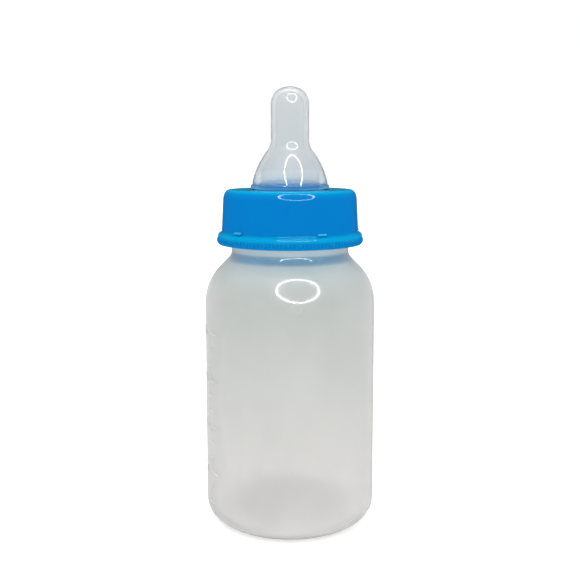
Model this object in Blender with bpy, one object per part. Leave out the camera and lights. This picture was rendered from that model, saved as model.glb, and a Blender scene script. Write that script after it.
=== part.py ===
"""Small baby bottle: a translucent bottle, a screw collar and a feeding teat.

All three pieces are turned about the Z axis.  The bottle stands on z = 0.  Its
threaded neck carries the collar, and the collar clamps the flange of the teat
on the bottle's rim.  Turning the collar counter-clockwise, seen from above,
lifts the collar and the teat along the thread.  Lengths are in metres.
"""
from math import acos, asin, ceil, cos, pi, radians, sin, tan

import bmesh
import bpy
from mathutils import Matrix, Vector

MM = 0.001

# Running gap between neighbouring pieces, and the rounding of small edges.
GAP = 0.3 * MM
EDGE_ROUND = 0.5 * MM
FINE_ROUND = 0.3 * MM

# Bottle.
BODY_RADIUS = 26.75 * MM
BODY_WALL = 1.2 * MM
BASE_CORNER = 6.0 * MM
STANDING_RING_WIDTH = 2.2 * MM
PUSH_UP = 1.2 * MM
FLOOR_HEIGHT = PUSH_UP + BODY_WALL
SHOULDER_START = 69.1 * MM
SHOULDER_RADIUS = 16.0 * MM
SHOULDER_SLOPE = radians(45)
NECK_RADIUS = 18.3 * MM
NECK_WALL = 1.5 * MM
NECK_FILLET = 3.8 * MM
RIM_HEIGHT = 100.5 * MM

# Teat.
FLANGE_THICKNESS = 1.8 * MM
FLANGE_RADIUS = 17.5 * MM
FLANGE_BASE = RIM_HEIGHT + GAP
TEAT_WALL = 1.35 * MM
TEAT_THROAT_RADIUS = 9.4 * MM
GROOVE_RADIUS = 10.8 * MM
LIP_RADIUS = 12.3 * MM
LIP_THICKNESS = 1.1 * MM
BELL_BASE = RIM_HEIGHT + 5.6 * MM
BELL_RADIUS = 25.0 * MM
BELL_ANGLE = radians(38.1)
WAIST_RADIUS = 5.0 * MM
WAIST_TOP = RIM_HEIGHT + 19.2 * MM
SHAFT_RADIUS = 5.95 * MM
DOME_START = RIM_HEIGHT + 29.8 * MM
DOME_HEIGHT = 5.9 * MM
DOME_POWER = 2.3
TIP_WALL = 1.2 * MM
FEED_HOLE_RADIUS = 0.4 * MM
VENT_RADIUS = 0.6 * MM
VENT_OFFSET = 14.2 * MM

# Collar.
COLLAR_BASE = RIM_HEIGHT - 12.9 * MM
COLLAR_CEILING = FLANGE_BASE + FLANGE_THICKNESS + GAP
COLLAR_TOP_THICKNESS = 1.6 * MM
COLLAR_TOP = COLLAR_CEILING + COLLAR_TOP_THICKNESS
COLLAR_HOLE_RADIUS = 11.2 * MM
COLLAR_TOP_RADIUS = 20.85 * MM
COLLAR_TOP_ROUND = 1.9 * MM
COLLAR_WALL_RADIUS = 21.45 * MM
COLLAR_BORE_RADIUS = 20.0 * MM
BEAD_RADIUS = 22.65 * MM
BEAD_TOP = COLLAR_BASE + 3.8 * MM
BEAD_SHOULDER = COLLAR_BASE + 3.3 * MM
BEAD_ROUND = 1.15 * MM
RIB_COUNT = 120
RIB_RADIUS = 0.35 * MM
RIB_HEIGHT = 1.5 * MM
RIB_MIDDLE = COLLAR_BASE + 1.3 * MM
NUB_COUNT = 5
NUB_SIZE = Vector((1.0, 2.9, 0.75)) * MM
NUB_BEVEL = 0.2 * MM
NUB_HEIGHT = COLLAR_BASE + 4.5 * MM
NUB_FIRST_ANGLE = radians(-64)

# Single-start right-hand thread, one ridge on the neck and one in the collar.
PITCH = 4.5 * MM
NECK_THREAD_START = RIM_HEIGHT - 9.6 * MM
NECK_THREAD_TURNS = 1.5
NECK_THREAD_CREST = 19.3 * MM
COLLAR_THREAD_TURNS = 1.4
COLLAR_THREAD_CREST = 18.6 * MM
COLLAR_THREAD_DROP = 1.7 * MM
RIDGE_ROOT_HALF = 1.0 * MM
RIDGE_CREST_HALF = 0.5 * MM
RIDGE_EMBED = 0.4 * MM
RIDGE_FADE = radians(40)
THREAD_PHASE = radians(2)

# Facets round each piece, and how far an arc's chords may cut inside the arc.
BOTTLE_COLUMNS = 48
COLLAR_COLUMNS = 60
TEAT_COLUMNS = 40
THREAD_COLUMNS = 48
DOME_STEPS = 6
ARC_TOLERANCE = 0.06 * MM


def clear_scene():
    for obj in list(bpy.data.objects):
        bpy.data.objects.remove(obj)


def material(name, color, roughness, alpha=1.0):
    mat = bpy.data.materials.new(name)
    mat.use_nodes = True
    shader = mat.node_tree.nodes["Principled BSDF"]
    shader.inputs["Base Color"].default_value = (*color, 1.0)
    shader.inputs["Metallic"].default_value = 0.0
    shader.inputs["Roughness"].default_value = roughness
    shader.inputs["Alpha"].default_value = alpha
    mat.diffuse_color = (*color, alpha)
    return mat


def arc(centre, radius, start, end):
    """Return points on an arc in the (r, z) plane, both ends included."""
    widest_step = 2 * acos(max(0.5, 1 - ARC_TOLERANCE / radius))
    steps = ceil(abs(end - start) / widest_step)
    angles = [start + (end - start) * i / steps for i in range(steps + 1)]
    return [centre + radius * Vector((cos(a), sin(a))) for a in angles]


def rounded(corners):
    """Return the outline through (r, z, fillet) corners, fillets drawn as arcs.

    The first and last corners join up, so they need a fillet of 0 where the
    outline is open.
    """
    points = []
    for i, (r, z, fillet) in enumerate(corners):
        corner = Vector((r, z))
        if fillet == 0:
            points.append(corner)
            continue
        back = (Vector(corners[i - 1][:2]) - corner).normalized()
        ahead = (Vector(corners[(i + 1) % len(corners)][:2]) - corner).normalized()
        half = back.angle(ahead) / 2
        centre = corner + (back + ahead).normalized() * fillet / sin(half)
        start = corner + back * fillet / tan(half) - centre
        turn = (pi - 2 * half) * (1 if back.cross(ahead) < 0 else -1)
        start_angle = Vector((1, 0)).angle(start) * (1 if start.y >= 0 else -1)
        points += arc(centre, fillet, start_angle, start_angle + turn)
    return points


def new_object(name, bm, mat, height=0.0, parent=None):
    """Make an object from a bmesh whose origin lies on the Z axis at height."""
    bmesh.ops.recalc_face_normals(bm, faces=bm.faces)
    bmesh.ops.translate(bm, vec=(0, 0, -height), verts=bm.verts)
    mesh = bpy.data.meshes.new(name)
    bm.to_mesh(mesh)
    bm.free()
    mesh.materials.append(mat)
    mesh.shade_smooth()
    mesh.set_sharp_from_angle(angle=radians(35))
    obj = bpy.data.objects.new(name, mesh)
    bpy.context.scene.collection.objects.link(obj)
    if parent:
        obj.parent = parent
        height -= parent.matrix_world.translation.z
    obj.location.z = height
    bpy.context.view_layer.update()
    return obj


def turned(outline, columns, closed):
    """Spin an (r, z) outline about Z and return the bmesh."""
    bm = bmesh.new()
    verts = [bm.verts.new((p.x, 0, p.y)) for p in outline]
    edges = [bm.edges.new(pair) for pair in zip(verts, verts[1:])]
    if closed:
        edges.append(bm.edges.new((verts[-1], verts[0])))
    bmesh.ops.spin(bm, geom=verts + edges, axis=(0, 0, 1), cent=(0, 0, 0),
                   angle=2 * pi, steps=columns, use_merge=True)
    bmesh.ops.remove_doubles(bm, verts=bm.verts, dist=1e-6)
    return bm


def thread_ridge(wall_radius, crest_radius, start_height, turns):
    """Return a helical ridge that stands on a wall and fades out at both ends.

    The ridge points away from the axis when the crest is wider than the wall,
    and towards it otherwise.
    """
    outward = 1 if crest_radius > wall_radius else -1
    root_radius = wall_radius - outward * RIDGE_EMBED
    tallest = abs(crest_radius - root_radius)
    lowest = RIDGE_EMBED / 2
    slope = (RIDGE_ROOT_HALF - RIDGE_CREST_HALF) / abs(crest_radius - wall_radius)
    root_half = RIDGE_ROOT_HALF + slope * RIDGE_EMBED
    total = 2 * pi * turns
    steps = ceil(THREAD_COLUMNS * turns)
    bm = bmesh.new()
    loops = []
    for i in range(steps + 1):
        climb = total * i / steps
        angle = THREAD_PHASE + climb
        height = start_height + PITCH * climb / (2 * pi)
        fade = min(1, climb / RIDGE_FADE, (total - climb) / RIDGE_FADE)
        rise = lowest + (tallest - lowest) * sin(fade * pi / 2)
        crest_half = root_half - slope * rise
        section = ((root_radius, -root_half),
                   (root_radius, root_half),
                   (root_radius + outward * rise, crest_half),
                   (root_radius + outward * rise, -crest_half))
        loops.append([bm.verts.new((r * cos(angle), r * sin(angle), height + dz))
                      for r, dz in section])
    for near, far in zip(loops, loops[1:]):
        for k in range(4):
            bm.faces.new((near[k - 1], near[k], far[k], far[k - 1]))
    bm.faces.new(loops[0])
    bm.faces.new(reversed(loops[-1]))
    return bm


def join(piece, helper_name, bm, operation="UNION"):
    """Add or cut a helper shape, which stays as a hidden wire object."""
    helper = new_object(helper_name, bm, piece.data.materials[0],
                        piece.matrix_world.translation.z, piece)
    helper.hide_render = True
    helper.display_type = "WIRE"
    boolean = piece.modifiers.new(helper_name, "BOOLEAN")
    boolean.operation = operation
    boolean.solver = "EXACT"
    boolean.object = helper


def bottle_outline():
    """Outside from the centre of the base up to the rim, then the inside down."""
    inner_radius = BODY_RADIUS - BODY_WALL
    ring_outer = BODY_RADIUS - BASE_CORNER
    ring_inner = ring_outer - STANDING_RING_WIDTH
    bore_radius = NECK_RADIUS - NECK_WALL
    centre_radius = BODY_RADIUS - SHOULDER_RADIUS
    # The sloped shoulder lines touch concentric arcs above SHOULDER_START.
    reach = cos(SHOULDER_SLOPE) + sin(SHOULDER_SLOPE)
    outer_sum = centre_radius + SHOULDER_START + SHOULDER_RADIUS * reach
    inner_arc = SHOULDER_RADIUS - BODY_WALL
    inner_sum = centre_radius + SHOULDER_START + inner_arc * reach
    return rounded([
        (0, PUSH_UP, 0),
        (ring_inner - PUSH_UP, PUSH_UP, EDGE_ROUND),
        (ring_inner, 0, FINE_ROUND),
        (BODY_RADIUS, 0, BASE_CORNER),
        (BODY_RADIUS, outer_sum - BODY_RADIUS, SHOULDER_RADIUS),
        (NECK_RADIUS, outer_sum - NECK_RADIUS, NECK_FILLET),
        (NECK_RADIUS, RIM_HEIGHT, EDGE_ROUND),
        (bore_radius, RIM_HEIGHT, EDGE_ROUND),
        (bore_radius, inner_sum - bore_radius, NECK_FILLET + NECK_WALL),
        (inner_radius, inner_sum - inner_radius, inner_arc),
        (inner_radius, FLOOR_HEIGHT, BASE_CORNER - BODY_WALL),
        (0, FLOOR_HEIGHT, 0),
    ])


def teat_arc_centres():
    """Centres of the concave waist arc and of the bell arc that it runs into."""
    waist_centre = Vector((SHAFT_RADIUS + WAIST_RADIUS, WAIST_TOP))
    slope = Vector((cos(BELL_ANGLE), sin(BELL_ANGLE)))
    return waist_centre, waist_centre - slope * (WAIST_RADIUS + BELL_RADIUS)


def teat_surface(inset, tip_inset, lowest_angle):
    """Points down the teat from the feed hole to the foot of the bell.

    The inside is the outside's curve, inset by the wall.
    """
    shaft = SHAFT_RADIUS - inset
    height = DOME_HEIGHT - tip_inset
    exponent = 2 / DOME_POWER
    hole_angle = acos((FEED_HOLE_RADIUS / shaft) ** (1 / exponent))
    dome = []
    for i in range(DOME_STEPS + 1):
        angle = hole_angle * (1 - i / DOME_STEPS)
        dome.append(Vector((shaft * cos(angle) ** exponent,
                            DOME_START + height * sin(angle) ** exponent)))
    waist_centre, bell_centre = teat_arc_centres()
    waist = arc(waist_centre, WAIST_RADIUS + inset, pi, pi + BELL_ANGLE)
    bell = arc(bell_centre, BELL_RADIUS - inset, BELL_ANGLE, lowest_angle)
    return dome + waist + bell[1:]


def teat_outline():
    """Outside down to the flange, then the inside back up to the feed hole."""
    flange_top = FLANGE_BASE + FLANGE_THICKNESS
    lip_base = COLLAR_TOP + GAP
    bell_centre = teat_arc_centres()[1]
    outer_low = asin((BELL_BASE - bell_centre.y) / BELL_RADIUS)
    inner_low = acos((TEAT_THROAT_RADIUS - bell_centre.x) / (BELL_RADIUS - TEAT_WALL))
    outside = teat_surface(0, 0, outer_low)
    inside = teat_surface(TEAT_WALL, TIP_WALL, inner_low)
    foot = rounded([
        (*outside[-1], 0),
        (LIP_RADIUS, lip_base + LIP_THICKNESS, FINE_ROUND),
        (LIP_RADIUS, lip_base, EDGE_ROUND),
        (GROOVE_RADIUS, lip_base, FINE_ROUND),
        (GROOVE_RADIUS, flange_top, FINE_ROUND),
        (FLANGE_RADIUS, flange_top, EDGE_ROUND),
        (FLANGE_RADIUS, FLANGE_BASE, EDGE_ROUND),
        (TEAT_THROAT_RADIUS, FLANGE_BASE, EDGE_ROUND),
        (*inside[-1], 0),
    ])
    return outside + foot[1:-1] + inside[::-1]


def collar_outline():
    """Round the collar's section, from the hole's top edge outwards and down."""
    return rounded([
        (COLLAR_HOLE_RADIUS, COLLAR_TOP, EDGE_ROUND),
        (COLLAR_TOP_RADIUS, COLLAR_TOP, COLLAR_TOP_ROUND),
        (COLLAR_WALL_RADIUS, BEAD_TOP, EDGE_ROUND),
        (BEAD_RADIUS, BEAD_SHOULDER, BEAD_ROUND),
        (BEAD_RADIUS, COLLAR_BASE, EDGE_ROUND),
        (COLLAR_BORE_RADIUS, COLLAR_BASE, FINE_ROUND),
        (COLLAR_BORE_RADIUS, COLLAR_CEILING, EDGE_ROUND),
        (COLLAR_HOLE_RADIUS, COLLAR_CEILING, FINE_ROUND),
    ])


def grip_ribs():
    """Fine upright ribs round the bead, each a square bar set corner outwards."""
    bm = bmesh.new()
    for i in range(RIB_COUNT):
        place = Matrix.Rotation(2 * pi * (i + 0.5) / RIB_COUNT, 4, "Z")
        place @= Matrix.Translation((BEAD_RADIUS, 0, RIB_MIDDLE))
        bmesh.ops.create_cone(bm, cap_ends=True, segments=4, radius1=RIB_RADIUS,
                              radius2=RIB_RADIUS, depth=RIB_HEIGHT, matrix=place)
    return bm


def hood_nubs():
    """Low nubs round the collar's wall that a hood would click over."""
    bm = bmesh.new()
    for i in range(NUB_COUNT):
        place = Matrix.Rotation(NUB_FIRST_ANGLE + 2 * pi * i / NUB_COUNT, 4, "Z")
        place @= Matrix.Translation((COLLAR_WALL_RADIUS, 0, NUB_HEIGHT))
        place @= Matrix.Diagonal((*NUB_SIZE, 1))
        made = bmesh.ops.create_cube(bm, size=1, matrix=place)
        edges = {e for v in made["verts"] for e in v.link_edges}
        bmesh.ops.bevel(bm, geom=list(edges), offset=NUB_BEVEL, segments=1, affect="EDGES")
    return bm


def vent_drill():
    """A drill for the air hole through the teat's flange."""
    bm = bmesh.new()
    place = Matrix.Translation((VENT_OFFSET, 0, FLANGE_BASE + FLANGE_THICKNESS / 2))
    bmesh.ops.create_cone(bm, cap_ends=True, segments=12, radius1=VENT_RADIUS,
                          radius2=VENT_RADIUS, depth=2 * FLANGE_THICKNESS, matrix=place)
    return bm


def make_bottle():
    clear_plastic = material("bottle_plastic", (0.72, 0.76, 0.74), 0.28, alpha=0.7)
    bottle = new_object("bottle", turned(bottle_outline(), BOTTLE_COLUMNS, False), clear_plastic)
    join(bottle, "neck_thread_ridge",
         thread_ridge(NECK_RADIUS, NECK_THREAD_CREST, NECK_THREAD_START, NECK_THREAD_TURNS))
    return bottle


def make_teat(bottle):
    silicone = material("teat_silicone", (0.74, 0.78, 0.78), 0.35, alpha=0.75)
    teat = new_object("teat", turned(teat_outline(), TEAT_COLUMNS, True), silicone,
                      FLANGE_BASE, bottle)
    join(teat, "vent_drill", vent_drill(), "DIFFERENCE")
    return teat


def make_collar(teat):
    blue_plastic = material("collar_plastic", (0.0, 0.24, 0.66), 0.22)
    collar = new_object("collar", turned(collar_outline(), COLLAR_COLUMNS, True),
                        blue_plastic, COLLAR_BASE, teat)
    join(collar, "collar_thread_ridge",
         thread_ridge(COLLAR_BORE_RADIUS, COLLAR_THREAD_CREST,
                      NECK_THREAD_START - COLLAR_THREAD_DROP, COLLAR_THREAD_TURNS))
    join(collar, "grip_ribs", grip_ribs())
    join(collar, "hood_nubs", hood_nubs())
    return collar


def main():
    clear_scene()
    bottle = make_bottle()
    teat = make_teat(bottle)
    make_collar(teat)


main()
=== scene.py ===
"""Looks of the small baby bottle: milky bottle, glossy blue collar, clear teat.

The three mouldings are turned about the Z axis at the sizes of the CAD nodes
that they replace, with finer curves, threads and mould lines.  The scale, the
grip ribs and the hood nubs are pieces of their own.  Lengths are in metres.
"""

from math import acos, asin, ceil, cos, exp, pi, radians, sin, tan

import bmesh
import bpy
from mathutils import Matrix, Vector


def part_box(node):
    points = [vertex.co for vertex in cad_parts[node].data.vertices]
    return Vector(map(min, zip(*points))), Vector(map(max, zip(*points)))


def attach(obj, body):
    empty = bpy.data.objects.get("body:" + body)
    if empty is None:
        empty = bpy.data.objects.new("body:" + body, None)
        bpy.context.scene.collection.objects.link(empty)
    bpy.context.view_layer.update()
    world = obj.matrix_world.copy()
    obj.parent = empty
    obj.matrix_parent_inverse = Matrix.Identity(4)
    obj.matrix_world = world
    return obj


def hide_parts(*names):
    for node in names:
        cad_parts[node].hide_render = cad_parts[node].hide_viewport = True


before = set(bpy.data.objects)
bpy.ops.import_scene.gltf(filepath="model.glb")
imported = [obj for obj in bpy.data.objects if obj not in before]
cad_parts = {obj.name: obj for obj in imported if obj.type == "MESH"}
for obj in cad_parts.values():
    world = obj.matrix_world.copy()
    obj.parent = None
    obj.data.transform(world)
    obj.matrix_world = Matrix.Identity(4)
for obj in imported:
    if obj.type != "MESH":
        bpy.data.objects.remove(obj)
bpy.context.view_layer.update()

MM = 0.001
MILLILITRE = 1e-6

# The frame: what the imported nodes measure.
BOTTLE_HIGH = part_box("bottle")[1]
TEAT_LOW, TEAT_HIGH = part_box("teat")
COLLAR_LOW, COLLAR_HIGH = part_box("collar")
BODY_RADIUS = BOTTLE_HIGH.x
RIM_HEIGHT = BOTTLE_HIGH.z
FLANGE_BASE = TEAT_LOW.z
TEAT_TOP = TEAT_HIGH.z
COLLAR_BASE = COLLAR_LOW.z
COLLAR_TOP = COLLAR_HIGH.z
GAP = FLANGE_BASE - RIM_HEIGHT

# Rounding of edges, how far an arc's chords may cut inside the arc, how near
# two numbers are to count as equal, and the angle from which an edge is sharp.
EDGE_ROUND = 0.5 * MM
FINE_ROUND = 0.3 * MM
ARC_TOLERANCE = 0.004 * MM
NEAR = 0.001 * MM
SHARP_ANGLE = radians(50)

# Bottle.
BODY_WALL = 1.2 * MM
BASE_CORNER = 6.0 * MM
STANDING_RING_WIDTH = 2.2 * MM
PUSH_UP = 1.2 * MM
FLOOR_HEIGHT = PUSH_UP + BODY_WALL
GATE_RADIUS = 1.5 * MM
GATE_DEPTH = 0.3 * MM
SHOULDER_START = 69.1 * MM
SHOULDER_RADIUS = 16.0 * MM
SHOULDER_SLOPE = radians(45)
NECK_RADIUS = 18.3 * MM
NECK_WALL = 1.5 * MM
NECK_FILLET = 3.8 * MM

# Teat.
FLANGE_THICKNESS = 1.8 * MM
FLANGE_RADIUS = 17.5 * MM
TEAT_WALL = 1.35 * MM
TEAT_THROAT_RADIUS = 9.4 * MM
GROOVE_RADIUS = 10.8 * MM
LIP_RADIUS = 12.3 * MM
LIP_THICKNESS = 1.1 * MM
BELL_BASE = RIM_HEIGHT + 5.6 * MM
BELL_RADIUS = 25.0 * MM
BELL_ANGLE = radians(38.1)
WAIST_RADIUS = 5.0 * MM
WAIST_TOP = RIM_HEIGHT + 19.2 * MM
SHAFT_RADIUS = 5.95 * MM
DOME_HEIGHT = 5.9 * MM
DOME_START = RIM_HEIGHT + 29.8 * MM
DOME_POWER = 2.3
DOME_STEPS = 28
TIP_WALL = 1.2 * MM
FEED_HOLE_RADIUS = 0.4 * MM
VENT_RADIUS = 0.6 * MM
VENT_SEGMENTS = 24
VENT_OFFSET = 14.2 * MM

# Collar. Its top edge is an upper round, a slanting lead and a lower round.
COLLAR_CEILING = FLANGE_BASE + FLANGE_THICKNESS + GAP
COLLAR_HOLE_RADIUS = 11.2 * MM
COLLAR_TOP_RADIUS = 20.85 * MM
COLLAR_TOP_ROUND = 1.3 * MM
COLLAR_LEAD = 2.0 * MM
COLLAR_LEAD_ANGLE = radians(34)
COLLAR_LEAD_ROUND = 4.2 * MM
COLLAR_WALL_RADIUS = 21.45 * MM
COLLAR_BORE_RADIUS = 20.0 * MM
BEAD_RADIUS = 22.65 * MM
BEAD_TOP = COLLAR_BASE + 3.8 * MM
BEAD_SHOULDER = COLLAR_BASE + 3.3 * MM
BEAD_ROUND = 1.15 * MM
RIB_COUNT = 120
RIB_HALF = Vector((0.34, 0.36, 0.85)) * MM
RIB_MIDDLE = COLLAR_BASE + 1.3 * MM
RIB_SEGMENTS = 12
RIB_RINGS = 8
NUB_COUNT = 5
NUB_SIZE = Vector((1.0, 2.9, 0.95)) * MM
NUB_BEVEL = 0.12 * MM
NUB_BEVEL_STEPS = 4
NUB_SLOPE = 0.65 * MM
NUB_HEIGHT = COLLAR_BASE + 4.5 * MM
NUB_FIRST_ANGLE = radians(-64)

# Single-start right-hand thread, one ridge on the neck and one in the collar.
PITCH = 4.5 * MM
NECK_THREAD_START = RIM_HEIGHT - 9.6 * MM
NECK_THREAD_TURNS = 1.5
NECK_THREAD_RISE = 1.0 * MM
COLLAR_THREAD_START = NECK_THREAD_START - 1.7 * MM
COLLAR_THREAD_TURNS = 1.4
COLLAR_THREAD_RISE = 1.4 * MM
RIDGE_ROOT_HALF = 1.0 * MM
RIDGE_CREST_HALF = 0.5 * MM
RIDGE_FADE = radians(40)
THREAD_PHASE = radians(2)

# Mould lines up the body.
SEAM_ANGLES = (radians(-17), radians(163))
SEAM_RISE = 0.14 * MM
SEAM_SPREAD = 0.16 * MM
SEAM_COLUMN_STEPS = (-2, -1, 0, 1, 2)

# The scale raised on the body's side: strokes every 10 ml, figures every 30.
SCALE_ANGLE = radians(-158)
SCALE_RISE = 0.16 * MM
SCALE_SINK = 0.1 * MM
SCALE_STROKE = 0.45 * MM
SCALE_LONG = 5.5 * MM
SCALE_SHORT = 3.0 * MM
SCALE_END_RISE = 0.4
SCALE_END_WIDTH = 0.7
SCALE_FIGURE = 4.2 * MM
SCALE_FIGURE_SPACE = 1.2 * MM
SCALE_FIGURE_OFFSET = -0.02 * MM
SCALE_FIGURE_CURVE_STEPS = 4
SCALE_STEP_ML = 10
SCALE_FIGURE_ML = 30
SCALE_FULL_ML = 120

# Base colours by height, with painted light in them. They stand in for light that
# the pieces pass on: the collar's blue painted on the neck's foot and on the teat's
# foot, the collar's bead and top edge painted lighter, and a body painted paler near
# the floor. The neck's painted blue stays on the neck.
PAINTED_PALE_BASE_TOP = 12 * MM
# Where the collar's blue is painted round the neck's foot.
PAINTED_NECK_BAND = (COLLAR_BASE - 4.6 * MM, COLLAR_BASE - 2.6 * MM)
# The bottle's milky colour with painted light: paler near the floor, darker up to the shoulder, a
# painted band of the collar's blue on the neck's foot, and a painted pale blue above it under the
# collar.
BOTTLE_COLOUR_AND_PAINTED_LIGHT = (
    (0, (0.97, 0.96, 0.945)),
    (PAINTED_PALE_BASE_TOP, (0.86, 0.85, 0.84)),
    (SHOULDER_START / 2, (0.80, 0.80, 0.785)),
    (SHOULDER_START, (0.69, 0.715, 0.70)),
    (PAINTED_NECK_BAND[0] - 6.0 * MM, (0.68, 0.72, 0.705)),
    (PAINTED_NECK_BAND[0] - 0.5 * MM, (0.76, 0.86, 0.88)),
    (PAINTED_NECK_BAND[0], (0.29, 0.55, 0.77)),
    (PAINTED_NECK_BAND[1], (0.33, 0.59, 0.79)),
    (PAINTED_NECK_BAND[1] + 0.5 * MM, (0.88, 0.98, 1.0)),
    (RIM_HEIGHT, (0.90, 0.99, 1.0)),
)
# The collar's own blue, painted lighter on the bead and at the top edge, where light from above
# falls.
COLLAR_BLUE_AND_PAINTED_LIGHT = (
    (COLLAR_BASE, (0.0, 0.175, 0.46)),
    (COLLAR_BASE + 1.8 * MM, (0.0, 0.185, 0.47)),
    (COLLAR_BASE + 2.5 * MM, (0.0, 0.27, 0.53)),
    (BEAD_SHOULDER + 0.2 * MM, (0.0, 0.27, 0.53)),
    (BEAD_TOP + 0.4 * MM, (0.0, 0.165, 0.46)),
    (BEAD_TOP + 2.0 * MM, (0.0, 0.154, 0.45)),
    (COLLAR_TOP - 2.4 * MM, (0.0, 0.157, 0.45)),
    (COLLAR_TOP - 1.0 * MM, (0.0, 0.19, 0.48)),
    (COLLAR_TOP, (0.0, 0.34, 0.58)),
)
# The nubs' blue, painted lighter on their tops, where light from above falls.
NUB_BLUE_AND_PAINTED_LIGHT = (
    (COLLAR_BASE, (0.0, 0.17, 0.48)),
    (NUB_HEIGHT - NUB_SIZE.z / 2, (0.0, 0.20, 0.50)),
    (NUB_HEIGHT, (0.04, 0.38, 0.66)),
    (COLLAR_TOP, (0.04, 0.42, 0.70)),
)
# The teat's clear grey, with the collar's blue painted on its foot.
TEAT_CLEAR_AND_PAINTED_BLUE = (
    (COLLAR_TOP, (0.13, 0.48, 0.88)),
    (COLLAR_TOP + 1.5 * MM, (0.12, 0.46, 0.84)),
    (BELL_BASE + 0.9 * MM, (0.76, 0.81, 0.84)),
    (WAIST_TOP, (0.80, 0.83, 0.84)),
    (TEAT_TOP, (0.80, 0.825, 0.835)),
)

# Noise: the part of its range that it mostly stays in.
NOISE_LOW = 0.3
NOISE_HIGH = 0.7

# What varies over each material: its roughness, and the share of its base
# colour. The scale's share is low and it isn't see-through, so that it reads.
BOTTLE_SHADE = (0.93, 1.0)
SCALE_SHADE = (0.60, 0.65)
COLLAR_SHADE = (0.96, 1.0)
TEAT_SHADE = (0.97, 1.0)
BOTTLE_ROUGHNESS = (0.14, 0.24)
COLLAR_ROUGHNESS = (0.10, 0.16)
TEAT_ROUGHNESS = (0.06, 0.12)

# What is the same all over each material.
BOTTLE_FINISH = {
    "IOR": 1.45,
    "Transmission Weight": 0.7,
    "Sheen Weight": 0.7,
    "Coat Weight": 1.0,
    "Coat Roughness": 0.08,
}
SCALE_FINISH = {**BOTTLE_FINISH, "Transmission Weight": 0.0}
COLLAR_FINISH = {
    "IOR": 1.49,
    "Specular IOR Level": 0.0,
    "Coat Weight": 0.75,
    "Coat Roughness": 0.07,
}
TEAT_FINISH = {
    "IOR": 1.41,
    "Transmission Weight": 0.75,
    "Sheen Weight": 0.3,
    "Coat Weight": 1.0,
    "Coat Roughness": 0.08,
}

# Facets round each piece, and the row height where a thread is drawn.
BOTTLE_COLUMNS = 240
COLLAR_COLUMNS = 240
TEAT_COLUMNS = 160
THREAD_ROW = 0.2 * MM

# Camera: at the teat's height, tilted a little down at the body.
CAMERA_DISTANCE = 263.7 * MM
CAMERA_HEIGHT = 116.0 * MM
CAMERA_TILT = radians(6.59)
CAMERA_LENS = 52.16
CAMERA_SENSOR = 36.0
CAMERA_SHIFT = -0.07
CAMERA_CLIP = 10 * MM

# Light: a white room, brighter overhead and far dimmer in reflections. A ring
# lamp in front of the collar and above it shows in reflections only.
RING_RADIUS = 230 * MM
RING_WIDTH = 24 * MM
RING_SEGMENTS = 96
RING_REACH = 480 * MM
RING_ELEVATION = radians(42)
RING_TURN = radians(13)
RING_STRENGTH = 18.0
ROOM_STRENGTH = 1.02
ROOM_OVERHEAD = 2.25
ROOM_REFLECTED = 0.04
OVERHEAD_FROM = radians(20)
FLOOR_RADIUS = 3.0
FLOOR_SEGMENTS = 96
FLOOR_FINISH = {
    "Base Color": (0.7, 0.7, 0.7, 1),
    "Roughness": 1.0,
    "Specular IOR Level": 0.0,
    "Emission Color": (1, 1, 1, 1),
    "Emission Strength": 0.45,
}


# ---------------------------------------------------------------- outlines

def arc(centre, radius, start, end):
    """Points on an arc in the (r, z) plane, both ends included."""
    widest_step = 2 * acos(max(0.5, 1 - ARC_TOLERANCE / radius))
    steps = ceil(abs(end - start) / widest_step)
    angles = [start + (end - start) * i / steps for i in range(steps + 1)]
    return [centre + radius * Vector((cos(a), sin(a))) for a in angles]


def rounded(corners):
    """The outline through (r, z, fillet) corners, with the fillets as arcs."""
    points = []
    for i, (r, z, fillet) in enumerate(corners):
        corner = Vector((r, z))
        if fillet == 0:
            points.append(corner)
            continue
        back = (Vector(corners[i - 1][:2]) - corner).normalized()
        ahead = (Vector(corners[(i + 1) % len(corners)][:2]) - corner).normalized()
        half = back.angle(ahead) / 2
        centre = corner + (back + ahead).normalized() * fillet / sin(half)
        start = corner + back * fillet / tan(half) - centre
        turn = (pi - 2 * half) * (1 if back.cross(ahead) < 0 else -1)
        start_angle = Vector((1, 0)).angle(start) * (1 if start.y >= 0 else -1)
        points += arc(centre, fillet, start_angle, start_angle + turn)
    return points


def with_rows(outline, radius, row):
    """The outline, with the upright line at that radius cut into rows."""
    points = []
    for here, there in zip(outline, outline[1:] + outline[:1]):
        points.append(here)
        upright = abs(here.x - radius) < NEAR and abs(there.x - radius) < NEAR
        if upright:
            count = ceil((there - here).length / row)
            points += [here.lerp(there, i / count) for i in range(1, count)]
    return points


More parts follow.
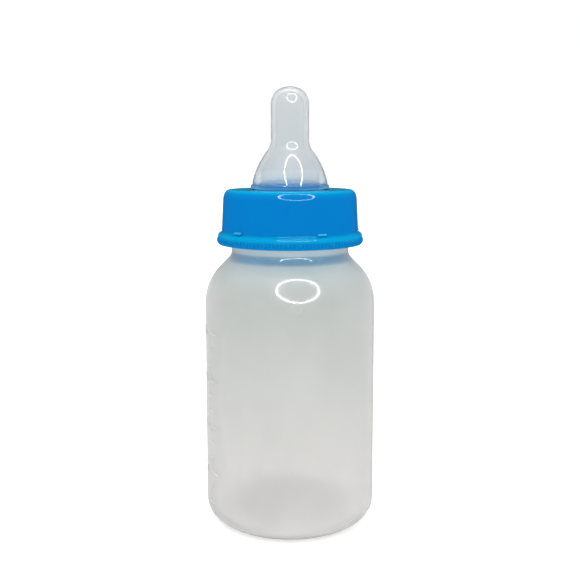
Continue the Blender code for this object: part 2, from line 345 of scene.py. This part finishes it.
def bottle_outline():
    """Outside from the centre of the base up to the rim, then the inside down."""
    inner_radius = BODY_RADIUS - BODY_WALL
    ring_outer = BODY_RADIUS - BASE_CORNER
    ring_inner = ring_outer - STANDING_RING_WIDTH
    bore_radius = NECK_RADIUS - NECK_WALL
    centre_radius = BODY_RADIUS - SHOULDER_RADIUS
    reach = cos(SHOULDER_SLOPE) + sin(SHOULDER_SLOPE)
    outer_sum = centre_radius + SHOULDER_START + SHOULDER_RADIUS * reach
    inner_arc = SHOULDER_RADIUS - BODY_WALL
    inner_sum = centre_radius + SHOULDER_START + inner_arc * reach
    return rounded([
        (0, PUSH_UP - GATE_DEPTH, 0),
        (GATE_RADIUS, PUSH_UP - GATE_DEPTH, GATE_DEPTH / 2),
        (GATE_RADIUS + GATE_DEPTH, PUSH_UP, GATE_DEPTH),
        (ring_inner - PUSH_UP, PUSH_UP, EDGE_ROUND),
        (ring_inner, 0, FINE_ROUND),
        (BODY_RADIUS, 0, BASE_CORNER),
        (BODY_RADIUS, outer_sum - BODY_RADIUS, SHOULDER_RADIUS),
        (NECK_RADIUS, outer_sum - NECK_RADIUS, NECK_FILLET),
        (NECK_RADIUS, RIM_HEIGHT, EDGE_ROUND),
        (bore_radius, RIM_HEIGHT, EDGE_ROUND),
        (bore_radius, inner_sum - bore_radius, NECK_FILLET + NECK_WALL),
        (inner_radius, inner_sum - inner_radius, inner_arc),
        (inner_radius, FLOOR_HEIGHT, BASE_CORNER - BODY_WALL),
        (0, FLOOR_HEIGHT, 0),
    ])


def teat_arc_centres():
    """Centres of the concave waist arc and of the bell arc that it runs into."""
    waist_centre = Vector((SHAFT_RADIUS + WAIST_RADIUS, WAIST_TOP))
    slope = Vector((cos(BELL_ANGLE), sin(BELL_ANGLE)))
    return waist_centre, waist_centre - slope * (WAIST_RADIUS + BELL_RADIUS)


def teat_surface(inset, tip_inset, lowest_angle):
    """Points down the teat from the feed hole to the foot of the bell."""
    shaft = SHAFT_RADIUS - inset
    height = DOME_HEIGHT - tip_inset
    exponent = 2 / DOME_POWER
    hole_angle = acos((FEED_HOLE_RADIUS / shaft) ** (1 / exponent))
    dome = []
    for i in range(DOME_STEPS + 1):
        angle = hole_angle * (1 - i / DOME_STEPS)
        dome.append(Vector((shaft * cos(angle) ** exponent,
                            DOME_START + height * sin(angle) ** exponent)))
    waist_centre, bell_centre = teat_arc_centres()
    waist = arc(waist_centre, WAIST_RADIUS + inset, pi, pi + BELL_ANGLE)
    bell = arc(bell_centre, BELL_RADIUS - inset, BELL_ANGLE, lowest_angle)
    return dome + waist + bell[1:]


def teat_outline():
    """Outside down to the flange, then the inside back up to the feed hole."""
    flange_top = FLANGE_BASE + FLANGE_THICKNESS
    lip_base = COLLAR_TOP + GAP
    bell_centre = teat_arc_centres()[1]
    outer_low = asin((BELL_BASE - bell_centre.y) / BELL_RADIUS)
    inner_low = acos((TEAT_THROAT_RADIUS - bell_centre.x) / (BELL_RADIUS - TEAT_WALL))
    outside = teat_surface(0, 0, outer_low)
    inside = teat_surface(TEAT_WALL, TIP_WALL, inner_low)
    foot = rounded([
        (*outside[-1], 0),
        (LIP_RADIUS, lip_base + LIP_THICKNESS, FINE_ROUND),
        (LIP_RADIUS, lip_base, EDGE_ROUND),
        (GROOVE_RADIUS, lip_base, FINE_ROUND),
        (GROOVE_RADIUS, flange_top, FINE_ROUND),
        (FLANGE_RADIUS, flange_top, EDGE_ROUND),
        (FLANGE_RADIUS, FLANGE_BASE, EDGE_ROUND),
        (TEAT_THROAT_RADIUS, FLANGE_BASE, EDGE_ROUND),
        (*inside[-1], 0),
    ])
    return outside + foot[1:-1] + inside[::-1]


def collar_outline():
    """Round the collar's section, from the hole's top edge outwards and down."""
    return rounded([
        (COLLAR_HOLE_RADIUS, COLLAR_TOP, EDGE_ROUND),
        (COLLAR_TOP_RADIUS - COLLAR_LEAD * sin(COLLAR_LEAD_ANGLE), COLLAR_TOP, COLLAR_TOP_ROUND),
        (COLLAR_TOP_RADIUS, COLLAR_TOP - COLLAR_LEAD * cos(COLLAR_LEAD_ANGLE), COLLAR_LEAD_ROUND),
        (COLLAR_WALL_RADIUS, BEAD_TOP, EDGE_ROUND),
        (BEAD_RADIUS, BEAD_SHOULDER, BEAD_ROUND),
        (BEAD_RADIUS, COLLAR_BASE, EDGE_ROUND),
        (COLLAR_BORE_RADIUS, COLLAR_BASE, FINE_ROUND),
        (COLLAR_BORE_RADIUS, COLLAR_CEILING, EDGE_ROUND),
        (COLLAR_HOLE_RADIUS, COLLAR_CEILING, FINE_ROUND),
    ])


# ------------------------------------------------------------------ meshes

def smooth_step(value):
    """Run gently from 0 to 1 as the value does, and stay there beyond."""
    value = min(1, max(0, value))
    return value * value * (3 - 2 * value)


def ridge_share(angle, height, start, turns):
    """How much of its full rise a thread ridge has at a place, from 0 to 1."""
    share = 0
    climb = (angle - THREAD_PHASE) % (2 * pi)
    while climb < 2 * pi * turns:
        offset = abs(height - start - PITCH * climb / (2 * pi))
        flank = (RIDGE_ROOT_HALF - offset) / (RIDGE_ROOT_HALF - RIDGE_CREST_HALF)
        fade = min(climb, 2 * pi * turns - climb) / RIDGE_FADE
        share = max(share, smooth_step(flank) * smooth_step(fade))
        climb += 2 * pi
    return share


def neck_and_seam_rise(angle, r, z):
    """How far the bottle's outside stands off its outline."""
    if abs(r - NECK_RADIUS) < NEAR:
        return NECK_THREAD_RISE * ridge_share(angle, z, NECK_THREAD_START, NECK_THREAD_TURNS)
    outside = r > BODY_RADIUS - BODY_WALL / 2
    if not outside:
        return 0
    away = min(abs((angle - seam + pi) % (2 * pi) - pi) for seam in SEAM_ANGLES) * r
    return SEAM_RISE * exp(-(away / SEAM_SPREAD) ** 2)


def collar_thread_rise(angle, r, z):
    """How far the collar's bore stands off its outline, towards the axis."""
    if abs(r - COLLAR_BORE_RADIUS) > NEAR:
        return 0
    share = ridge_share(angle, z, COLLAR_THREAD_START, COLLAR_THREAD_TURNS)
    return -COLLAR_THREAD_RISE * share


def column_angles(count, seams=()):
    """Even angles round the axis, with close ones at the mould lines."""
    angles = [2 * pi * i / count for i in range(count)]
    for seam in seams:
        for step in SEAM_COLUMN_STEPS:
            angles.append((seam + step * SEAM_SPREAD / BODY_RADIUS) % (2 * pi))
    return sorted(set(round(a, 9) for a in angles))


def turned(outline, angles, closed, rise=None):
    """Turn an (r, z) outline about Z, each vertex stood off by `rise`."""
    bm = bmesh.new()
    rings = []
    for r, z in outline:
        if r == 0:
            pole = bm.verts.new((0, 0, z))
            rings.append([pole] * len(angles))
            continue
        ring = []
        for angle in angles:
            radius = r + (rise(angle, r, z) if rise else 0)
            ring.append(bm.verts.new((radius * cos(angle), radius * sin(angle), z)))
        rings.append(ring)
    pairs = list(zip(rings, rings[1:]))
    if closed:
        pairs.append((rings[-1], rings[0]))
    for low, high in pairs:
        for i in range(len(angles)):
            corners = (low[i - 1], low[i], high[i], high[i - 1])
            bm.faces.new(list(dict.fromkeys(corners)))
    return bm


def add_piece(name, bm, mat, body):
    """Make a shown piece from a bmesh, riding on a CAD body."""
    bmesh.ops.recalc_face_normals(bm, faces=bm.faces)
    mesh = bpy.data.meshes.new(name)
    bm.to_mesh(mesh)
    bm.free()
    mesh.materials.append(mat)
    mesh.shade_smooth()
    mesh.set_sharp_from_angle(angle=SHARP_ANGLE)
    piece = bpy.data.objects.new(name, mesh)
    bpy.context.scene.collection.objects.link(piece)
    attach(piece, body)
    return piece


def add_copy(bm, mesh):
    """Add a mesh to a bmesh and return the new vertices."""
    first = len(bm.verts)
    bm.from_mesh(mesh)
    bm.verts.ensure_lookup_table()
    return bm.verts[first:]


def grip_ribs():
    """Fine upright ribs round the bead, each a ball drawn out to a slim bar."""
    tilts = [pi * i / RIB_RINGS for i in range(1, RIB_RINGS)]
    outline = [(0, 1)] + [(sin(t), cos(t)) for t in tilts] + [(0, -1)]
    ball = turned(outline, column_angles(RIB_SEGMENTS), False)
    mesh = bpy.data.meshes.new("ball")
    ball.to_mesh(mesh)
    ball.free()
    bm = bmesh.new()
    for i in range(RIB_COUNT):
        place = Matrix.Rotation(2 * pi * (i + 0.5) / RIB_COUNT, 4, "Z")
        place @= Matrix.Translation((BEAD_RADIUS, 0, RIB_MIDDLE))
        place @= Matrix.Diagonal((*RIB_HALF, 1))
        for vert in add_copy(bm, mesh):
            vert.co = place @ vert.co
    return bm


def hood_nubs():
    """Low nubs with a sloped top round the collar's wall, for a hood to click over."""
    bm = bmesh.new()
    for i in range(NUB_COUNT):
        place = Matrix.Rotation(NUB_FIRST_ANGLE + 2 * pi * i / NUB_COUNT, 4, "Z")
        place @= Matrix.Translation((COLLAR_WALL_RADIUS, 0, NUB_HEIGHT))
        made = bmesh.ops.create_cube(bm, size=1, matrix=Matrix.Diagonal((*NUB_SIZE, 1)))
        for vert in made["verts"]:
            if vert.co.x > 0 and vert.co.z > 0:
                vert.co.z -= NUB_SLOPE
            vert.co = place @ vert.co
        edges = dict.fromkeys(e for v in made["verts"] for e in v.link_edges)
        bmesh.ops.bevel(bm, geom=list(edges), offset=NUB_BEVEL,
                        segments=NUB_BEVEL_STEPS, affect="EDGES", profile=0.5)
    return bm


def on_body(across, up, out):
    """A point of the scale: distances along the body, up it and off it."""
    angle = SCALE_ANGLE + across / BODY_RADIUS
    radius = BODY_RADIUS + out
    return radius * cos(angle), radius * sin(angle), up


def scale_height(millilitres):
    """Where the milk stands, for a body that is a plain tube down to its floor."""
    area = pi * (BODY_RADIUS - BODY_WALL) ** 2
    return FLOOR_HEIGHT + millilitres * MILLILITRE / area


def scale_strokes():
    """Raised strokes, longer ones where a figure stands."""
    bm = bmesh.new()
    for volume in range(SCALE_STEP_ML, SCALE_FULL_ML + 1, SCALE_STEP_ML):
        length = SCALE_SHORT if volume % SCALE_FIGURE_ML else SCALE_LONG
        middle = scale_height(volume)
        steps = ceil(length / SCALE_STROKE)
        loops = []
        for i in range(steps + 1):
            across = length * i / steps
            at_end = i in (0, steps)
            crown = SCALE_RISE * (SCALE_END_RISE if at_end else 1)
            half = SCALE_STROKE / 2 * (SCALE_END_WIDTH if at_end else 1)
            section = ((-half, -SCALE_SINK), (half, -SCALE_SINK), (half, crown / 2),
                       (half / 2, crown), (-half / 2, crown), (-half, crown / 2))
            loops.append([bm.verts.new(on_body(across, middle + up, out))
                          for up, out in section])
        for near, far in zip(loops, loops[1:]):
            for k in range(len(near)):
                bm.faces.new((near[k - 1], near[k], far[k], far[k - 1]))
        bm.faces.new(loops[0])
        bm.faces.new(reversed(loops[-1]))
    return bm


def scale_figures():
    """The volumes as raised figures, bent round the body."""
    bm = bmesh.new()
    for volume in range(SCALE_FIGURE_ML, SCALE_FULL_ML + 1, SCALE_FIGURE_ML):
        text = bpy.data.curves.new("figure", "FONT")
        text.body = str(volume)
        text.size = SCALE_FIGURE
        text.align_x = "RIGHT"
        text.align_y = "CENTER"
        text.extrude = (SCALE_RISE + SCALE_SINK) / 2
        text.offset = SCALE_FIGURE_OFFSET
        text.resolution_u = SCALE_FIGURE_CURVE_STEPS
        shown = bpy.data.objects.new("figure", text)
        bpy.context.scene.collection.objects.link(shown)
        flat = shown.evaluated_get(bpy.context.evaluated_depsgraph_get()).to_mesh()
        verts = add_copy(bm, flat)
        bpy.data.objects.remove(shown)
        for vert in verts:
            across, up, out = vert.co
            out += (SCALE_RISE - SCALE_SINK) / 2
            vert.co = on_body(across - SCALE_FIGURE_SPACE, scale_height(volume) + up, out)
    bmesh.ops.remove_doubles(bm, verts=bm.verts, dist=NEAR / 10)
    return bm


def drilled(bm, drill):
    """The first mesh with the drill cut out of it."""
    solids = []
    for name, part in (("blank", bm), ("drill", drill)):
        bmesh.ops.recalc_face_normals(part, faces=part.faces)
        mesh = bpy.data.meshes.new(name)
        part.to_mesh(mesh)
        part.free()
        solids.append(bpy.data.objects.new(name, mesh))
        bpy.context.scene.collection.objects.link(solids[-1])
    boolean = solids[0].modifiers.new("drill", "BOOLEAN")
    boolean.operation = "DIFFERENCE"
    boolean.object = solids[1]
    cut = bmesh.new()
    cut.from_mesh(solids[0].evaluated_get(bpy.context.evaluated_depsgraph_get()).to_mesh())
    for solid in solids:
        bpy.data.objects.remove(solid)
    return cut


def vent_drill():
    """A drill for the air hole through the teat's flange."""
    bm = bmesh.new()
    place = Matrix.Translation((VENT_OFFSET, 0, FLANGE_BASE + FLANGE_THICKNESS / 2))
    bmesh.ops.create_cone(bm, cap_ends=True, segments=VENT_SEGMENTS, radius1=VENT_RADIUS,
                          radius2=VENT_RADIUS, depth=2 * FLANGE_THICKNESS, matrix=place)
    return bm


# --------------------------------------------------------------- materials

def new_material(name, sockets):
    """A Principled material with numbers and colours set on the shader itself."""
    mat = bpy.data.materials.new(name)
    mat.use_nodes = True
    shader = mat.node_tree.nodes["Principled BSDF"]
    for socket, value in sockets.items():
        shader.inputs[socket].default_value = value
    return mat, mat.node_tree.nodes, mat.node_tree.links, shader


def object_coordinates(nodes):
    """Places in the object's own space, in metres."""
    return nodes.new("ShaderNodeTexCoord").outputs["Object"]


def noise(nodes, links, coordinates, scale, detail, stretch=None):
    """A noise texture's factor, with about `scale` clouds to the metre."""
    texture = nodes.new("ShaderNodeTexNoise")
    texture.inputs["Scale"].default_value = scale
    texture.inputs["Detail"].default_value = detail
    source = coordinates
    if stretch:
        mapping = nodes.new("ShaderNodeMapping")
        mapping.inputs["Scale"].default_value = stretch
        links.new(coordinates, mapping.inputs["Vector"])
        source = mapping.outputs["Vector"]
    links.new(source, texture.inputs["Vector"])
    return texture.outputs["Fac"]


def between(nodes, links, factor, ends):
    """A number that runs from one end to the other as a noise's factor varies."""
    spread = nodes.new("ShaderNodeMapRange")
    spread.inputs["From Min"].default_value = NOISE_LOW
    spread.inputs["From Max"].default_value = NOISE_HIGH
    spread.inputs["To Min"].default_value = ends[0]
    spread.inputs["To Max"].default_value = ends[1]
    links.new(factor, spread.inputs["Value"])
    return spread.outputs["Result"]


def tinted_by_height(nodes, links, coordinates, stops, shade):
    """A colour that follows (height, colour) stops, dimmed by a shade."""
    low, high = stops[0][0], stops[-1][0]
    split = nodes.new("ShaderNodeSeparateXYZ")
    links.new(coordinates, split.inputs["Vector"])
    share = nodes.new("ShaderNodeMapRange")
    share.inputs["From Min"].default_value = low
    share.inputs["From Max"].default_value = high
    links.new(split.outputs["Z"], share.inputs["Value"])
    ramp = nodes.new("ShaderNodeValToRGB")
    elements = ramp.color_ramp.elements
    while len(elements) < len(stops):
        elements.new(0.5)
    for element, (height, colour) in zip(elements, stops):
        element.position = (height - low) / (high - low)
        element.color = (*colour, 1)
    links.new(share.outputs["Result"], ramp.inputs["Fac"])
    dimmed = nodes.new("ShaderNodeVectorMath")
    dimmed.operation = "SCALE"
    links.new(ramp.outputs["Color"], dimmed.inputs["Vector"])
    links.new(shade, dimmed.inputs["Scale"])
    return dimmed.outputs["Vector"]


def bumped(nodes, links, heights, shader):
    """Chain bumps, each (height, strength, distance), into a shader's normal."""
    normal = None
    for height, strength, distance in heights:
        bump = nodes.new("ShaderNodeBump")
        bump.inputs["Strength"].default_value = strength
        bump.inputs["Distance"].default_value = distance
        links.new(height, bump.inputs["Height"])
        if normal:
            links.new(normal, bump.inputs["Normal"])
        normal = bump.outputs["Normal"]
    links.new(normal, shader.inputs["Normal"])


def bottle_plastic(name, finish, shade):
    """Blow-moulded polypropylene: milky and softly uneven."""
    mat, nodes, links, shader = new_material(name, finish)
    place = object_coordinates(nodes)
    cloud = noise(nodes, links, place, scale=60, detail=2, stretch=(1, 1, 0.5))
    peel = noise(nodes, links, place, scale=420, detail=1)
    # Its colour by height holds painted light: the body paler near the floor and the collar's
    # blue painted on the neck's foot.
    links.new(tinted_by_height(nodes, links, place, BOTTLE_COLOUR_AND_PAINTED_LIGHT,
                               between(nodes, links, cloud, shade)),
              shader.inputs["Base Color"])
    links.new(between(nodes, links, cloud, BOTTLE_ROUGHNESS), shader.inputs["Roughness"])
    bumped(nodes, links, [(peel, 0.1, 0.02 * MM)], shader)
    return mat


def collar_plastic(name, stops_with_painted_light):
    """Injection-moulded polypropylene: a strong blue whose gloss is all in its coat."""
    mat, nodes, links, shader = new_material(name, COLLAR_FINISH)
    place = object_coordinates(nodes)
    flow = noise(nodes, links, place, scale=120, detail=3, stretch=(1, 1, 0.4))
    peel = noise(nodes, links, place, scale=1400, detail=2)
    # The stops paint light from above onto the blue: a lighter bead, top edge and nub tops.
    links.new(tinted_by_height(nodes, links, place, stops_with_painted_light,
                               between(nodes, links, flow, COLLAR_SHADE)),
              shader.inputs["Base Color"])
    links.new(between(nodes, links, flow, COLLAR_ROUGHNESS), shader.inputs["Roughness"])
    bumped(nodes, links, [(flow, 0.08, 0.05 * MM), (peel, 0.06, 0.01 * MM)], shader)
    return mat


def teat_silicone():
    """Clear silicone: smooth, with a soft sheen and the collar's blue painted on its foot."""
    mat, nodes, links, shader = new_material("teat_silicone", TEAT_FINISH)
    place = object_coordinates(nodes)
    cloud = noise(nodes, links, place, scale=160, detail=3)
    peel = noise(nodes, links, place, scale=1100, detail=2)
    # The colour by height paints the collar's blue on the teat's foot.
    links.new(tinted_by_height(nodes, links, place, TEAT_CLEAR_AND_PAINTED_BLUE,
                               between(nodes, links, cloud, TEAT_SHADE)),
              shader.inputs["Base Color"])
    links.new(between(nodes, links, cloud, TEAT_ROUGHNESS), shader.inputs["Roughness"])
    bumped(nodes, links, [(peel, 0.06, 0.01 * MM)], shader)
    return mat


# ------------------------------------------------------------------ pieces

def make_bottle():
    """The bottle, with the scale raised on its side."""
    plastic = bottle_plastic("bottle_plastic", BOTTLE_FINISH, BOTTLE_SHADE)
    scale_plastic = bottle_plastic("scale_plastic", SCALE_FINISH, SCALE_SHADE)
    outline = with_rows(bottle_outline(), NECK_RADIUS, THREAD_ROW)
    shell = turned(outline, column_angles(BOTTLE_COLUMNS, SEAM_ANGLES), False,
                   neck_and_seam_rise)
    bottle = add_piece("bottle_shell", shell, plastic, "bottle")
    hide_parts("bottle")
    add_piece("scale_strokes", scale_strokes(), scale_plastic, "bottle")
    add_piece("scale_figures", scale_figures(), scale_plastic, "bottle")


def make_teat():
    """The teat, with the air hole drilled through its flange."""
    blank = turned(teat_outline(), column_angles(TEAT_COLUMNS), True)
    teat = add_piece("teat_moulding", drilled(blank, vent_drill()), teat_silicone(),
                     "teat")
    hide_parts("teat")


def make_collar():
    """The collar, with its grip ribs and hood nubs."""
    plastic = collar_plastic("collar_plastic", COLLAR_BLUE_AND_PAINTED_LIGHT)
    # A copy of the collar's plastic, painted lighter on the nubs' tops.
    nub_plastic_painted_lighter = collar_plastic("nub_plastic_painted_lighter", NUB_BLUE_AND_PAINTED_LIGHT)
    outline = with_rows(collar_outline(), COLLAR_BORE_RADIUS, THREAD_ROW)
    ring = turned(outline, column_angles(COLLAR_COLUMNS), True, collar_thread_rise)
    collar = add_piece("collar_ring", ring, plastic, "collar")
    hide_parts("collar")
    add_piece("collar_grip_ribs", grip_ribs(), plastic, "collar")
    add_piece("collar_hood_nubs", hood_nubs(), nub_plastic_painted_lighter, "collar")


# ------------------------------------------------------- camera and studio

def make_camera():
    """The camera, straight in front of the bottle."""
    data = bpy.data.cameras.new("camera")
    data.lens = CAMERA_LENS
    data.sensor_width = CAMERA_SENSOR
    data.shift_y = CAMERA_SHIFT
    data.clip_start = CAMERA_CLIP
    camera = bpy.data.objects.new("camera", data)
    camera.location = (0, -CAMERA_DISTANCE, CAMERA_HEIGHT)
    camera.rotation_euler = (pi / 2 - CAMERA_TILT, 0, 0)
    bpy.context.scene.collection.objects.link(camera)
    bpy.context.scene.camera = camera


def glow(name, strength):
    """A material that only gives off white light."""
    mat = bpy.data.materials.new(name)
    mat.use_nodes = True
    nodes = mat.node_tree.nodes
    nodes.remove(nodes["Principled BSDF"])
    lamp = nodes.new("ShaderNodeEmission")
    lamp.inputs["Strength"].default_value = strength
    mat.node_tree.links.new(lamp.outputs["Emission"],
                            nodes["Material Output"].inputs["Surface"])
    return mat


def make_ring_light():
    """A flat ring lamp that faces the collar and shows in reflections only."""
    bm = bmesh.new()
    rings = []
    for radius in (RING_RADIUS - RING_WIDTH / 2, RING_RADIUS + RING_WIDTH / 2):
        rings.append([bm.verts.new((radius * cos(a), radius * sin(a), 0))
                      for a in column_angles(RING_SEGMENTS)])
    for i in range(RING_SEGMENTS):
        bm.faces.new((rings[0][i - 1], rings[0][i], rings[1][i], rings[1][i - 1]))
    mesh = bpy.data.meshes.new("ring_light")
    bm.to_mesh(mesh)
    bm.free()
    mesh.materials.append(glow("ring_glow", RING_STRENGTH))
    ring = bpy.data.objects.new("ring_light", mesh)
    bpy.context.scene.collection.objects.link(ring)
    outward = Vector((sin(RING_TURN) * cos(RING_ELEVATION),
                      -cos(RING_TURN) * cos(RING_ELEVATION), sin(RING_ELEVATION)))
    ring.location = Vector((0, 0, COLLAR_BASE)) + outward * RING_REACH
    ring.rotation_euler = outward.to_track_quat("Z", "Y").to_euler()
    ring.visible_camera = False
    ring.visible_diffuse = False
    ring.visible_transmission = False
    ring.visible_shadow = False


def make_room():
    """A white world, brighter overhead, and dimmer for glossy rays than for others."""
    world = bpy.data.worlds.new("room")
    world.use_nodes = True
    nodes, links = world.node_tree.nodes, world.node_tree.links
    background = nodes["Background"]
    background.inputs["Color"].default_value = (1, 1, 1, 1)
    path = nodes.new("ShaderNodeLightPath")
    reflected = nodes.new("ShaderNodeMath")
    reflected.operation = "SUBTRACT"
    reflected.use_clamp = True
    links.new(path.outputs["Is Glossy Ray"], reflected.inputs[0])
    links.new(path.outputs["Is Transmission Ray"], reflected.inputs[1])
    split = nodes.new("ShaderNodeSeparateXYZ")
    links.new(nodes.new("ShaderNodeTexCoord").outputs["Generated"], split.inputs["Vector"])
    upward = nodes.new("ShaderNodeMapRange")
    upward.interpolation_type = "SMOOTHSTEP"
    upward.inputs["From Min"].default_value = sin(OVERHEAD_FROM)
    upward.inputs["To Min"].default_value = ROOM_STRENGTH
    upward.inputs["To Max"].default_value = ROOM_OVERHEAD
    links.new(split.outputs["Z"], upward.inputs["Value"])
    strength = nodes.new("ShaderNodeMapRange")
    links.new(upward.outputs["Result"], strength.inputs["To Min"])
    strength.inputs["To Max"].default_value = ROOM_REFLECTED
    links.new(reflected.outputs["Value"], strength.inputs["Value"])
    links.new(strength.outputs["Result"], background.inputs["Strength"])
    bpy.context.scene.world = world
    bpy.context.scene.view_settings.view_transform = "Standard"


def make_floor():
    """A plain pale floor with a slight glow, which reflections leave out."""
    bm = bmesh.new()
    bmesh.ops.create_circle(bm, cap_ends=True, segments=FLOOR_SEGMENTS, radius=FLOOR_RADIUS)
    mesh = bpy.data.meshes.new("floor")
    bm.to_mesh(mesh)
    bm.free()
    mesh.materials.append(new_material("floor_paper", FLOOR_FINISH)[0])
    floor = bpy.data.objects.new("floor", mesh)
    bpy.context.scene.collection.objects.link(floor)
    floor.visible_glossy = False


make_camera()
make_bottle()
make_teat()
make_collar()
make_ring_light()
make_room()
make_floor()
